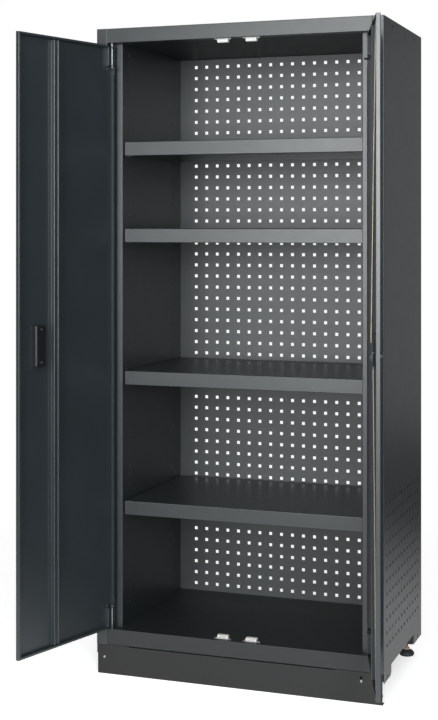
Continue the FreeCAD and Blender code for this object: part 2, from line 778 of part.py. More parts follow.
def notch_bottom():
    arm = DOOR_TOP - SHEET - HINGE_END_GAP - HINGE_HEIGHT - PIN_TAIL - PIN_BEND
    return arm - PIN_TRAVEL - 2 * PIN_RADIUS


def door_skin(side):
    x0, x1 = DOOR_FREE_EDGE, DOOR_HINGE_EDGE
    inner = FRONT + DOOR_THICKNESS
    block = box(x0, x1, FRONT, inner, DOOR_BOTTOM, DOOR_TOP)
    block = block.makeFillet(BEND, edges_on(block, "Y", FRONT) + edges_on(block, "Y", inner))
    hollow = box(x0 + SHEET, x1 - SHEET, FRONT + SHEET, inner - SHEET, DOOR_BOTTOM + SHEET, DOOR_TOP - SHEET)
    mouth = box(x0 + DOOR_LIP, x1 - DOOR_LIP, inner - 2 * SHEET, inner + 1,
                DOOR_BOTTOM + DOOR_LIP, DOOR_TOP - DOOR_LIP)
    notch_width = SHEET + FIT + HINGE_WIDTH + 1
    lip_notch = box(x1 - notch_width, x1 + 1, inner - SHEET, inner + 1, notch_bottom(), DOOR_TOP + 1)
    pin_hole = rod(PIN_DOOR_HOLE_RADIUS, PIVOT + V(0, 0, DOOR_TOP - 3), PIVOT + V(0, 0, DOOR_TOP + 1))
    cuts = [hollow, mouth, lip_notch, upside_down(lip_notch), pin_hole, upside_down(pin_hole)]
    cuts += lock_cutouts() if side > 0 else [pull_cutout()]
    return block.cut(cuts)


def door_stiffener():
    """Hat section with a shallow channel between two ridges along its crown."""
    near, far = FRONT + 2 * SHEET, FRONT + DOOR_THICKNESS + STIFFENER_PROUD
    middle = DOOR_FREE_EDGE + STIFFENER_FROM_EDGE
    half = STIFFENER_WIDTH / 2
    channel = half - STIFFENER_RIDGE
    path = [
        (middle + half + STIFFENER_FOOT, near),
        (middle + half, near),
        (middle + half, far),
        (middle + channel, far),
        (middle + channel, far - STIFFENER_DIP),
        (middle - channel, far - STIFFENER_DIP),
        (middle - channel, far),
        (middle - half, far),
        (middle - half, near),
        (middle - half - STIFFENER_FOOT, near),
    ]
    end_gap = DOOR_LIP + STIFFENER_END_GAP
    low, high = DOOR_BOTTOM + end_gap, DOOR_TOP - end_gap
    return bent_sheet(path, SHEET, BEND, in_plan(low), V(0, 0, high - low))


def hinge_bracket():
    x1 = DOOR_HINGE_EDGE - SHEET - FIT
    x0 = x1 - HINGE_WIDTH
    y0, y1 = FRONT + SHEET, PIVOT.y + PIN_RADIUS + HINGE_EAR_WALL
    high = DOOR_TOP - SHEET - HINGE_END_GAP
    low = high - HINGE_HEIGHT
    plate = box(x0, x1, y0, y0 + HINGE_SHEET, low, high)
    flange = box(x0, x0 + HINGE_SHEET, y0, y1, low, high)
    flange = flange.makeFillet(HINGE_SHEET * 0.45, edges_on(flange, "Y", y1))
    top_ear = box(x0, x1, y0, y1, high - HINGE_EAR, high)
    bottom_ear = box(x0, x1, y0, y1, low, low + HINGE_EAR)
    bracket = plate.fuse([flange, top_ear, bottom_ear]).removeSplitter()
    return bracket.cut(rod(PIN_RADIUS + PIN_CLEARANCE, PIVOT + V(0, 0, low - 1), PIVOT + V(0, 0, high + 1)))


def hinge_pin(arm, arm_length, tip_z):
    """Round pin from the lintel through the bracket, bent to an arm that a finger can pull."""
    tip = PIVOT + V(0, 0, tip_z)
    low = DOOR_TOP - SHEET - HINGE_END_GAP - HINGE_HEIGHT - PIN_TAIL
    bend_start = PIVOT + V(0, 0, low)
    bend_end = PIVOT + V(0, 0, low - PIN_BEND) + arm * PIN_BEND
    bend_centre = bend_start + arm * PIN_BEND
    bend_middle = bend_centre - (arm + V(0, 0, 1)) * (PIN_BEND / math.sqrt(2))
    path = Part.Wire([
        Part.LineSegment(tip, bend_start).toShape(),
        Part.Arc(bend_start, bend_middle, bend_end).toShape(),
        Part.LineSegment(bend_end, bend_end + arm * (arm_length - PIN_BEND)).toShape(),
    ])
    profile = Part.Wire(Part.Circle(tip, V(0, 0, 1), PIN_RADIUS).toShape())
    return path.makePipeShell([profile], True, True)


def upper_hinge_pin():
    return hinge_pin(V(0, 1, 0), UPPER_PIN_ARM, LINTEL_BOTTOM + PIN_REACH)


def lower_hinge_pin():
    """The same pin turned upside down, with its tip in the rail and its arm along the door."""
    tip_z = 2 * DOOR_MIDDLE - (FLOOR_TOP - PIN_REACH)
    return upside_down(hinge_pin(V(-1, 0, 0), LOWER_PIN_ARM, tip_z))


def hinge_bushes():
    bushes = []
    for side in SIDES:
        for z, inward in ((LINTEL_BOTTOM, V(0, 0, 1)), (FLOOR_TOP, V(0, 0, -1))):
            seat = V(side * PIVOT.x, PIVOT.y, z)
            collar_end = seat - inward * BUSH_COLLAR
            body_end = seat + inward * BUSH_TAIL
            bush = rod(BUSH_RADIUS, collar_end, body_end).fuse(rod(BUSH_COLLAR_RADIUS, collar_end, seat))
            bush = bush.removeSplitter().cut(rod(PIN_RADIUS + PIN_CLEARANCE, collar_end, body_end))
            bushes.append(bush)
    return bushes


# Flush pull

def pull_centre():
    return V(DOOR_FREE_EDGE + PULL_FROM_EDGE, FRONT, PULL_Z)


def plate_box(centre, width, height, y0, y1):
    return box(centre.x - width / 2, centre.x + width / 2, FRONT + y0, FRONT + y1,
               centre.z - height / 2, centre.z + height / 2)


def pull_cutout():
    gap = 2 * CUTOUT_CLEARANCE
    return plate_box(pull_centre(), PULL_WIDTH + gap, PULL_HEIGHT + gap, -1, 2 * SHEET)


def pull_cup():
    """Moulded cup: bezel outside, box inside, and a mouth narrower than the hollow behind it."""
    centre = pull_centre()
    body = plate_box(centre, PULL_WIDTH, PULL_HEIGHT, 0, PULL_DEPTH)
    back = edges_on(body, "Y", FRONT + PULL_DEPTH)
    body = body.makeFillet(PULL_ROUND, back)
    bezel = plate_box(centre, PULL_WIDTH + 2 * PULL_BEZEL, PULL_HEIGHT + 2 * PULL_BEZEL,
                      -PULL_BEZEL_THICKNESS, 0)
    bezel = bezel.makeFillet(PULL_BEZEL_THICKNESS * 0.6, edges_on(bezel, "Y", FRONT - PULL_BEZEL_THICKNESS))
    inner_width, inner_height = PULL_WIDTH - 2 * PULL_WALL, PULL_HEIGHT - 2 * PULL_WALL
    hollow = plate_box(centre, inner_width, inner_height, PULL_WALL, PULL_DEPTH - PULL_WALL)
    mouth_centre = centre + V(PULL_GRIP / 2, 0, 0)
    mouth = plate_box(mouth_centre, inner_width - PULL_GRIP, inner_height, -PULL_BEZEL_THICKNESS - 1,
                      PULL_WALL + 1)
    return body.fuse(bezel).removeSplitter().cut(hollow).cut(mouth)


def pull_screws():
    inward = V(0, 1, 0)
    screws = []
    for offset in (-PULL_SCREW_SPACING / 2, PULL_SCREW_SPACING / 2):
        face = pull_centre() + V(0, PULL_DEPTH, offset)
        screws.append(rod(SMALL_SCREW_HEAD_RADIUS, face, face + inward * SMALL_SCREW_HEAD))
    return screws


# Lock

def lock_cutouts():
    """Openings of the right door: the housing's and one in each end wall for a rod guide."""
    gap = 2 * CUTOUT_CLEARANCE
    cuts = [plate_box(HOUSING_CENTRE, LOCK_WIDTH + gap, LOCK_HEIGHT + gap, -1, 2 * SHEET)]
    for up in SIDES:
        _, end, along = rod_line(up)
        cuts.append(rod(GUIDE_RADIUS + FIT / 2, end - along * 3, end + along * 3))
    return cuts


def lock_rod(radius, start, end):
    """Cylinder on the lock's axis between two depths behind the door's outer face."""
    return rod(radius, LOCK_CENTRE + V(0, start, 0), LOCK_CENTRE + V(0, end, 0))


def lock_housing():
    body = plate_box(HOUSING_CENTRE, LOCK_WIDTH, LOCK_HEIGHT, 0, LOCK_DEPTH)
    bezel = plate_box(HOUSING_CENTRE, LOCK_WIDTH + 2 * LOCK_BEZEL, LOCK_HEIGHT + 2 * LOCK_BEZEL,
                      -LOCK_BEZEL_THICKNESS, 0)
    bezel = bezel.makeFillet(LOCK_BEZEL_THICKNESS * 0.6, edges_on(bezel, "Y", FRONT - LOCK_BEZEL_THICKNESS))
    recess = plate_box(HOUSING_CENTRE, LOCK_WIDTH - 2 * LOCK_WALL, LOCK_HEIGHT - 2 * LOCK_WALL,
                       -LOCK_BEZEL_THICKNESS - 1, LOCK_DEPTH - LOCK_WALL)
    bore = lock_rod(SPINDLE_RADIUS + SPINDLE_CLEARANCE, LOCK_DEPTH - LOCK_WALL - 1, LOCK_DEPTH + 1)
    return body.fuse(bezel).removeSplitter().cut(recess).cut(bore)


def lock_knob():
    back = LOCK_DEPTH - LOCK_WALL - FIT
    base = lock_rod(KNOB_RADIUS, back - KNOB_BASE, back)
    wing = plate_box(LOCK_CENTRE, 2 * (KNOB_RADIUS - WING_INSET), WING_WIDTH, -WING_PROUD, back - KNOB_BASE)
    wing = wing.common(lock_rod(KNOB_RADIUS - WING_INSET, -WING_PROUD, back))
    wing = wing.makeFillet(BEND, edges_on(wing, "Y", FRONT - WING_PROUD))
    spindle = lock_rod(SPINDLE_RADIUS, back - 1, CAM_FACE)
    end = lock_rod(SPINDLE_END_RADIUS, CAM_FACE - 1, CAM_BACK + CAM_NUT_HEIGHT)
    knob = base.fuse([wing, spindle, end]).removeSplitter()
    bore = KEY_PLUG_RADIUS + SPINDLE_CLEARANCE
    return knob.cut(lock_rod(bore, -WING_PROUD - 1, KEY_PLUG_LENGTH - WING_PROUD))


def key_plug():
    start = -WING_PROUD - KEY_PLUG_PROUD
    plug = lock_rod(KEY_PLUG_RADIUS, start, KEY_PLUG_LENGTH - WING_PROUD - FIT)
    slot = plate_box(LOCK_CENTRE, KEY_SLOT_WIDTH, KEY_SLOT_LENGTH, start - 1, start + KEY_SLOT_DEPTH)
    return plug.cut(slot)


def cam_pin(up):
    """Where a cam pin stands while the lock is open, from the lock's axis."""
    half_turn = math.radians(LOCK_TURN / 2)
    return V(up * CAM_PIN_ORBIT * math.cos(half_turn), 0, -up * CAM_PIN_ORBIT * math.sin(half_turn))


def lock_cam():
    """Flat link with a pin on each side: the inner one works the upper rod, the outer one the lower."""
    link = plate_box(LOCK_CENTRE, 2 * CAM_PIN_ORBIT, 2 * CAM_END_RADIUS, CAM_FACE, CAM_BACK)
    link = link.rotated(LOCK_CENTRE, V(0, 1, 0), LOCK_TURN / 2)
    ends = []
    for up in SIDES:
        foot = LOCK_CENTRE + cam_pin(up)
        tip = UPPER_ROD_DEPTH + ROD_PLATE / 2 + CAM_PIN_TIP if up > 0 else LOWER_ROD_DEPTH - ROD_PLATE / 2
        ends.append(rod(CAM_END_RADIUS, foot + V(0, CAM_FACE, 0), foot + V(0, CAM_BACK, 0)))
        ends.append(rod(CAM_PIN_RADIUS, foot + V(0, (CAM_FACE + CAM_BACK) / 2, 0), foot + V(0, tip, 0)))
    bore = lock_rod(SPINDLE_END_RADIUS + SPINDLE_CLEARANCE, CAM_FACE - 1, CAM_BACK + 1)
    return link.fuse(ends).removeSplitter().cut(bore)


def cam_nut():
    face = LOCK_CENTRE + V(0, CAM_BACK, 0)
    nut = hexagon(CAM_NUT_WIDTH, face, V(0, 1, 0), CAM_NUT_HEIGHT)
    return nut.cut(rod(SPINDLE_END_RADIUS + SPINDLE_CLEARANCE, face, face + V(0, CAM_NUT_HEIGHT, 0)))


def rod_line(up):
    """Foot, end and direction of a lock rod, which leans from the cam toward the door's end wall."""
    x, depth, end_z = UPPER_ROD_X, UPPER_ROD_DEPTH, DOOR_TOP
    if up < 0:
        x, depth, end_z = LOWER_ROD_X, LOWER_ROD_DEPTH, DOOR_BOTTOM
    foot = V(x, FRONT + depth, PULL_Z + up * ROD_START)
    end = V(x, FRONT + ROD_END_DEPTH, end_z)
    return foot, end, (end - foot) * (1 / (end - foot).Length)


def lock_bar(up):
    """Round bar with a flat foot, slotted across for the cam pin's swing."""
    foot, end, _ = rod_line(up)
    pin = cam_pin(up)
    half_slot = CAM_PIN_RADIUS + ROD_SLOT_END_CLEARANCE
    near, far = abs(pin.x) - half_slot, CAM_PIN_ORBIT + half_slot
    y0, y1 = foot.y - ROD_PLATE / 2, foot.y + ROD_PLATE / 2
    pin_z = PULL_Z + pin.z
    slot_half = CAM_PIN_RADIUS + ROD_SLOT_CLEARANCE
    slot = box(LOCK_X + up * near, LOCK_X + up * far, y0 - 1, y1 + 1, pin_z - slot_half, pin_z + slot_half)
    plate_end = pin_z - up * (slot_half + ROD_PLATE_MARGIN)
    plate = box(LOCK_X + up * (near - ROD_PLATE_MARGIN), LOCK_X + up * (far + ROD_PLATE_MARGIN), y0, y1,
                plate_end, foot.z + up * ROD_OVERLAP)
    return plate.cut(slot).fuse(rod(ROD_RADIUS, foot, end)).removeSplitter()


def rod_guide(up):
    """Collared bush in the door's end wall, in line with its rod."""
    _, end, along = rod_line(up)
    seat = end - along * (SHEET + FIT / 2)
    bush = rod(GUIDE_RADIUS, seat, end).fuse(rod(GUIDE_COLLAR_RADIUS, seat - along * GUIDE_COLLAR, seat))
    return bush.removeSplitter().cut(rod(ROD_RADIUS + ROD_CLEARANCE, seat - along * 5, end + along * 5))


# Magnetic catches

def catch_seats():
    """Seat of each catch and the direction it stands in: two under the lintel, two on the floor."""
    y = FRONT + DOOR_THICKNESS + CATCH_DOOR_GAP
    seats = []
    for side in SIDES:
        seats.append((V(side * CATCH_X, y, LINTEL_BOTTOM), -1))
        seats.append((V(side * CATCH_X, y, FLOOR_TOP), 1))
    return seats


def catch_plates():
    plates = []
    for seat, up in catch_seats():
        half = CATCH_PLATE_WIDTH / 2
        plates.append(box(seat.x - half, seat.x + half, seat.y, seat.y + CATCH_DEPTH,
                          seat.z, seat.z + up * CATCH_PLATE_THICKNESS))
    return plates


def pole_boxes(seat, up, gap):
    poles = []
    middle = seat.z + up * (CATCH_PLATE_THICKNESS + CATCH_HEIGHT / 2)
    half = POLE_WIDTH / 2 + gap
    thick = POLE_THICKNESS / 2 + gap
    for offset in (-POLE_SPACING / 2, POLE_SPACING / 2):
        z = middle + offset
        poles.append(box(seat.x - half, seat.x + half, seat.y - POLE_PROUD, seat.y + POLE_DEPTH + gap,
                         z - thick, z + thick))
    return poles


def catch_housings():
    housings = []
    for seat, up in catch_seats():
        half = CATCH_WIDTH / 2
        near = seat.z + up * CATCH_PLATE_THICKNESS
        block = box(seat.x - half, seat.x + half, seat.y, seat.y + CATCH_DEPTH,
                    near, near + up * CATCH_HEIGHT)
        block = block.makeFillet(1.0, edges_on(block, "Z", near + up * CATCH_HEIGHT))
        housings.append(block.cut(Part.makeCompound(pole_boxes(seat, up, FIT / 4))))
    return housings


def catch_poles():
    poles = []
    for seat, up in catch_seats():
        poles += pole_boxes(seat, up, 0)
    return poles


def catch_screws():
    screws = []
    for seat, up in catch_seats():
        for side in SIDES:
            face = seat + V(side * CATCH_SCREW_SPACING / 2, CATCH_DEPTH / 2, up * CATCH_PLATE_THICKNESS)
            screws.append(rod(SMALL_SCREW_HEAD_RADIUS, face, face + V(0, 0, up * SMALL_SCREW_HEAD)))
    return screws


def build_carcass():
    for side, word in ((-1, "left"), (1, "right")):
        save(word + "_side_panel", side_panel(side))
        save(word + "_inner_wall", inner_wall(side))
    save("back_panel", back_panel())
    save("back_rivets", back_rivets())
    save("roof_panel", roof_panel())
    save("ceiling_panel", ceiling_panel())
    save("floor_panel", floor_panel())
    save("base_tray", base_tray())
    save("plinth", plinth())
    save("plinth_screws", plinth_screws())
    for number, slot in enumerate(SHELF_SLOTS, 1):
        save("shelf_%d" % number, shelf(slot))
    save("shelf_clips", shelf_clips())
    save("hinge_bushes", hinge_bushes())
    save("catch_plates", catch_plates())
    save("catch_housings", catch_housings())
    save("catch_poles", catch_poles())
    save("catch_screws", catch_screws())


def build_feet():
    save("foot_brackets", foot_brackets())
    save("foot_weld_nuts", foot_weld_nuts())
    for name, place in foot_places().items():
        save(name + "_foot_pad", foot_pad(place))
        save(name + "_foot_stem", foot_stem(place))


def build_doors():
    for side, word in ((-1, "left"), (1, "right")):
        save(word + "_door_skin", hang(door_skin(side), side))
        save(word + "_door_stiffener", hang(door_stiffener(), side))
        brackets = [hinge_bracket(), upside_down(hinge_bracket())]
        save(word + "_hinge_brackets", [hang(bracket, side) for bracket in brackets])
        save(word + "_upper_hinge_pin", hang(upper_hinge_pin(), side))
        save(word + "_lower_hinge_pin", hang(lower_hinge_pin(), side))
    save("pull_cup", hang(pull_cup(), -1))
    save("pull_screws", [hang(screw, -1) for screw in pull_screws()])


def build_lock():
    pieces = {
        "lock_housing": lock_housing(),
        "lock_knob": lock_knob(),
        "key_plug": key_plug(),
        "lock_cam": lock_cam(),
        "cam_nut": cam_nut(),
        "upper_lock_rod": lock_bar(1),
        "lower_lock_rod": lock_bar(-1),
    }
    for name, piece in pieces.items():
        save(name, hang(piece, 1))
    save("rod_guides", [hang(rod_guide(up), 1) for up in SIDES])


os.makedirs("parts", exist_ok=True)
build_carcass()
build_feet()
build_doors()
build_lock()
print("rod stroke %.3f mm for a %g degree turn" % (ROD_STROKE, LOCK_TURN))
print("pivot", PIVOT.x, PIVOT.y, "lock", LOCK_X, PULL_Z, "rod depths", UPPER_ROD_DEPTH, LOWER_ROD_DEPTH)
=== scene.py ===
import json
import math

import bmesh
import bpy
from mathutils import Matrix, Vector


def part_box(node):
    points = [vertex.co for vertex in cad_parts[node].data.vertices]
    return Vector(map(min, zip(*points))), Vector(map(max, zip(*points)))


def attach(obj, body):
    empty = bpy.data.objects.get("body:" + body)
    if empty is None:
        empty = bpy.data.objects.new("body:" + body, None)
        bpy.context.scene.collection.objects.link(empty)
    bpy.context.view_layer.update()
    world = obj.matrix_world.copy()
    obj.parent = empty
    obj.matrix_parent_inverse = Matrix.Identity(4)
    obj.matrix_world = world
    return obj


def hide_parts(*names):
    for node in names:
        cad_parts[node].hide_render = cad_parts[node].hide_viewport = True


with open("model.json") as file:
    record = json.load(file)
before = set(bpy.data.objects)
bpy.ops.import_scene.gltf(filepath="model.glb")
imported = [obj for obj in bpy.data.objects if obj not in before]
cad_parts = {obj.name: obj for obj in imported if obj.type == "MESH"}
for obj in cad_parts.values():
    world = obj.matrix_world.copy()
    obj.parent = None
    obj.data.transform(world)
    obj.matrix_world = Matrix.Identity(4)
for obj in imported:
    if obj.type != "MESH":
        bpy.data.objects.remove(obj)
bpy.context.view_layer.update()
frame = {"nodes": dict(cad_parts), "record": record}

scene = bpy.context.scene
nodes = frame["nodes"]
slot_of = {row["node"]: row["material_slot"] for row in frame["record"]["subparts"]}

# Camera, fitted to the cabinet's edges and hole lattice in the photograph
IMAGE_WIDTH = 438
IMAGE_HEIGHT = 720
FOCAL_PIXELS = 1374.86
CENTRE_X = 251.77
CENTRE_Y = 224.29
SENSOR = 36.0
CAMERA_PLACE = (1.3774, -3.854, 1.3782)
CAMERA_TURN = 19.03

# Sizes that repeat the CAD's, in metres and degrees
LEFT_OPEN = 106.4
SMALL_HEAD_RADIUS = 0.0032
SMALL_HEAD_HEIGHT = 0.0018
SMALL_SHANK_RADIUS = 0.0015
SMALL_SHANK_LENGTH = 0.0001
PAN_HEAD_RADIUS = 0.0045
PAN_HEAD_HEIGHT = 0.0026
PAN_SHANK_RADIUS = 0.0024
PAN_SHANK_LENGTH = 0.0052
RIVET_HEAD_RADIUS = 0.0032
RIVET_HEAD_HEIGHT = 0.0012
RIVET_BODY_RADIUS = 0.0016
RIVET_GRIP = 0.0036
RIVET_BULB_RADIUS = 0.0026
RIVET_BULB_LENGTH = 0.002
STEM_RADIUS = 0.005
STEM_HEX_WIDTH = 0.017
STEM_HEX_HEIGHT = 0.006
THREAD_PITCH = 0.0015
THREAD_DEPTH = 0.0007
CORNERS = ("front_left", "front_right", "rear_left", "rear_right")

# Detail and facets of the fasteners
RECESS_LENGTH = 1.15
RECESS_WIDTH = 0.3
RIVET_DIMPLE = 0.45
DIMPLE_START = 0.95
SHARP_ANGLE = 0.6
HEAD_SEGMENTS = 18
HEAD_RINGS = 10
SHANK_SIDES = 12
RIVET_BODY_SIDES = 10
CORE_SIDES = 20
COIL_STEPS = 14
RIDGE_SIDES = 4
HEXAGON_SIDES = 6
MERGE_DISTANCE = 1e-6

# Texture of the finishes: noise scales per metre, bump heights and edge widths in metres
NOISE_WIDE = (0.3, 0.7)
NOISE_TIGHT = (0.35, 0.65)
PEEL_SCALE = 1400.0
PEEL_HEIGHT = 0.0004
MOTTLE_SCALE = 7.0
MOTTLE_DARK = 0.86
SMUDGE_SCALE = 38.0
SMUDGE_ROUGHNESS = (-0.012, 0.015)
PAINT_EDGE = 0.0012
# Patchy strength of the lighter paint edges: wear and a painted highlight
PAINT_EDGE_WEAR_AND_HIGHLIGHT = (0.25, 0.8)
LINE_SCALE = (900.0, 900.0, 30.0)
LINE_HEIGHT = 0.0002
LINE_ROUGHNESS = (-0.08, 0.1)
PASSIVATION_SCALE = 160.0
METAL_EDGE = 0.0006
METAL_EDGE_BRIGHT = 1.25
GRAIN_SCALE = 1500.0
GRAIN_HEIGHT = 0.0003
FLOW_SCALE = 60.0
FLOW_ROUGHNESS = (-0.06, 0.06)
PLASTIC_EDGE = 0.0008
PLASTIC_SCUFF = (0.2, 0.7)
EDGE_SAMPLES = 6
EDGE_START = 0.985
EDGE_FULL = 0.85

# Studio: softboxes by name, place, target, width, height and brightness
SOFTBOX_COLOR = (0.96, 0.99, 1.0)
SOFTBOXES = (
    ("key_softbox", (2.75, -5.0, 2.1), (2.75, 0.0, 2.1), 1.5, 2.6, 20.0),
    ("fill_softbox", (-0.65, -5.0, 1.75), (-0.65, 0.0, 1.75), 1.7, 2.4, 11.0),
    ("left_softbox", (-2.3, -5.0, 1.3), (-2.3, 0.0, 1.3), 1.1, 1.1, 3.2),
    ("high_softbox", (0.6, -5.0, 3.7), (0.6, 0.0, 3.7), 3.2, 0.9, 5.0),
    ("top_softbox", (0.4, -0.6, 4.4), (0.0, 0.0, 1.0), 2.4, 2.4, 1.4),
    ("side_softbox", (1.9, 5.0, 1.4), (1.9, 0.0, 1.4), 1.6, 2.8, 0.4),
)
BACKDROP_TILT = 6.0
BACKDROP_WHITE = 16.0
BACKDROP_END = 20.0
STUDIO_LEVEL = 0.08
FLOOR_DROP = 0.0005
FLOOR_GREY = 0.8
FLOOR_ROUGHNESS = 0.9
FLOOR_LEVEL = 0.75
FLOOR_MIRRORED = 0.6
FLOOR_CLEAR = 1.2
FLOOR_END = 2.6
FLOOR_SHADE = 0.25

# Lock rods: painted shade on the flat ends at the cam, which are given a dark colour
ROD_PAINTED_SHADE_COLOR = (0.05, 0.05, 0.052, 1)
ROD_PAINTED_SHADE_MIDDLE = 1.033
ROD_PAINTED_SHADE_REACH = 0.03


# Node helpers

class Tree:
    """Small helper that adds and links nodes in one node tree."""

    def __init__(self, tree):
        self.tree = tree

    def add(self, kind, **values):
        node = self.tree.nodes.new(kind)
        for key, value in values.items():
            setattr(node, key, value)
        return node

    def link(self, start, end):
        self.tree.links.new(start, end)

    def feed(self, socket, value):
        if isinstance(value, bpy.types.NodeSocket):
            self.link(value, socket)
        else:
            socket.default_value = value

    def put(self, node, **inputs):
        for key, value in inputs.items():
            self.feed(node.inputs[key.replace("_", " ")], value)
        return node

    def math(self, operation, a, b=0.0, clamp=False):
        node = self.add("ShaderNodeMath", operation=operation, use_clamp=clamp)
        for socket, value in zip(node.inputs, (a, b)):
            self.feed(socket, value)
        return node.outputs[0]

    def noise(self, vector, scale, detail):
        node = self.add("ShaderNodeTexNoise")
        self.put(node, Vector=vector, Scale=scale, Detail=detail)
        return node.outputs["Fac"]

    def span(self, value, low, high, to_low, to_high):
        node = self.add("ShaderNodeMapRange")
        self.put(node, Value=value, From_Min=low, From_Max=high, To_Min=to_low, To_Max=to_high)
        return node.outputs[0]

    def mix(self, factor, a, b):
        node = self.add("ShaderNodeMix", data_type="RGBA")
        for socket, value in ((node.inputs[0], factor), (node.inputs[6], a), (node.inputs[7], b)):
            self.feed(socket, value)
        return node.outputs[2]

    def bump(self, height, strength, distance):
        node = self.add("ShaderNodeBump")
        self.put(node, Strength=strength, Distance=distance, Height=height)
        return node.outputs["Normal"]


def new_group(name, colors, values):
    """Shader node group with the given inputs that gives a colour, a roughness and a normal."""
    group = bpy.data.node_groups.new(name, "ShaderNodeTree")
    for key in colors:
        group.interface.new_socket(key, in_out="INPUT", socket_type="NodeSocketColor")
    for key in values:
        group.interface.new_socket(key, in_out="INPUT", socket_type="NodeSocketFloat")
    group.interface.new_socket("Color", in_out="OUTPUT", socket_type="NodeSocketColor")
    group.interface.new_socket("Roughness", in_out="OUTPUT", socket_type="NodeSocketFloat")
    group.interface.new_socket("Normal", in_out="OUTPUT", socket_type="NodeSocketVector")
    tree = Tree(group)
    return group, tree, tree.add("NodeGroupInput").outputs, tree.add("NodeGroupOutput").inputs


def edge_mask(tree, radius):
    """One along sharp or folded edges and zero on flat faces."""
    bevel = tree.add("ShaderNodeBevel", samples=EDGE_SAMPLES)
    bevel.inputs["Radius"].default_value = radius
    geometry = tree.add("ShaderNodeNewGeometry")
    dot = tree.add("ShaderNodeVectorMath", operation="DOT_PRODUCT")
    tree.link(bevel.outputs[0], dot.inputs[0])
    tree.link(geometry.outputs["Normal"], dot.inputs[1])
    return tree.span(dot.outputs["Value"], EDGE_START, EDGE_FULL, 0.0, 1.0)


def paint_group():
    """Powder coat: fine orange peel, slow mottling, folded edges lightened in patches as wear and as a
    painted highlight.
    """
    group, tree, given, out = new_group("powder_coat", ("Color", "Edge Color"), ("Roughness", "Peel"))
    place = tree.add("ShaderNodeTexCoord").outputs["Object"]
    fine = tree.noise(place, PEEL_SCALE, 2.0)
    slow = tree.noise(place, MOTTLE_SCALE, 3.0)
    smudge = tree.noise(place, SMUDGE_SCALE, 4.0)
    dark = tree.add("ShaderNodeHueSaturation")
    tree.put(dark, Color=given["Color"], Value=MOTTLE_DARK)
    body = tree.mix(tree.span(slow, *NOISE_WIDE, 0.0, 1.0), dark.outputs[0], given["Color"])
    worn = tree.span(smudge, *NOISE_TIGHT, *PAINT_EDGE_WEAR_AND_HIGHLIGHT)
    # Wear and painted highlight: folded edges lighten towards the edge colour in patches
    edge_wear_and_highlight = tree.math("MULTIPLY", edge_mask(tree, PAINT_EDGE), worn, True)
    tree.link(tree.mix(edge_wear_and_highlight, body, given["Edge Color"]), out["Color"])
    spread = tree.span(smudge, *NOISE_WIDE, *SMUDGE_ROUGHNESS)
    tree.link(tree.math("ADD", given["Roughness"], spread), out["Roughness"])
    tree.link(tree.bump(fine, given["Peel"], PEEL_HEIGHT), out["Normal"])
    return group


def metal_group():
    """Plated steel: drawn lines along Z, cloudy passivation, brighter edges, a stretch of painted shade if
    set.
    """
    group, tree, given, out = new_group(
        "plated_steel", ("Color", "Tint", "Dark Color"), ("Roughness", "Lines", "Dark Middle", "Dark Reach"))
    place = tree.add("ShaderNodeTexCoord").outputs["Object"]
    stretch = tree.add("ShaderNodeMapping")
    tree.put(stretch, Vector=place, Scale=LINE_SCALE)
    lines = tree.noise(stretch.outputs[0], 1.0, 3.0)
    cloud = tree.noise(place, PASSIVATION_SCALE, 3.0)
    body = tree.mix(tree.span(cloud, *NOISE_TIGHT, 0.0, 1.0), given["Tint"], given["Color"])
    bright = tree.add("ShaderNodeHueSaturation")
    tree.put(bright, Color=given["Color"], Value=METAL_EDGE_BRIGHT)
    worn = tree.mix(edge_mask(tree, METAL_EDGE), body, bright.outputs[0])
    # Painted shade: a band of height around the given middle takes the dark colour
    height = tree.put(tree.add("ShaderNodeSeparateXYZ"), Vector=place).outputs["Z"]
    away = tree.math("ABSOLUTE", tree.math("SUBTRACT", height, given["Dark Middle"]))
    dark = tree.math("LESS_THAN", away, given["Dark Reach"])
    tree.link(tree.mix(dark, worn, given["Dark Color"]), out["Color"])
    spread = tree.span(lines, *NOISE_WIDE, *LINE_ROUGHNESS)
    tree.link(tree.math("ADD", given["Roughness"], spread), out["Roughness"])
    tree.link(tree.bump(lines, given["Lines"], LINE_HEIGHT), out["Normal"])
    return group


def plastic_group():
    """Moulded plastic: spark-eroded grain, faint flow clouds, scuffed edges."""
    group, tree, given, out = new_group("moulded_plastic", ("Color", "Scuff Color"), ("Roughness", "Grain"))
    place = tree.add("ShaderNodeTexCoord").outputs["Object"]
    grain = tree.add("ShaderNodeTexVoronoi")
    tree.put(grain, Vector=place, Scale=GRAIN_SCALE)
    cloud = tree.noise(place, FLOW_SCALE, 3.0)
    worn = tree.span(cloud, *NOISE_TIGHT, *PLASTIC_SCUFF)
    scuff = tree.math("MULTIPLY", edge_mask(tree, PLASTIC_EDGE), worn)
    tree.link(tree.mix(scuff, given["Color"], given["Scuff Color"]), out["Color"])
    spread = tree.span(cloud, *NOISE_WIDE, *FLOW_ROUGHNESS)
    tree.link(tree.math("ADD", given["Roughness"], spread), out["Roughness"])
    tree.link(tree.bump(grain.outputs["Distance"], given["Grain"], GRAIN_HEIGHT), out["Normal"])
    return group


def finish_material(name, group, metallic=0.0, specular=0.5, **inputs):
    material = bpy.data.materials.new(name)
    material.use_nodes = True
    tree = Tree(material.node_tree)
    shader = material.node_tree.nodes["Principled BSDF"]
    source = tree.add("ShaderNodeGroup", node_tree=group)
    tree.put(source, **inputs)
    for key, socket in (("Base Color", "Color"), ("Roughness", "Roughness"), ("Normal", "Normal")):
        tree.link(source.outputs[socket], shader.inputs[key])
    shader.inputs["Metallic"].default_value = metallic
    shader.inputs["Specular IOR Level"].default_value = specular
    return material


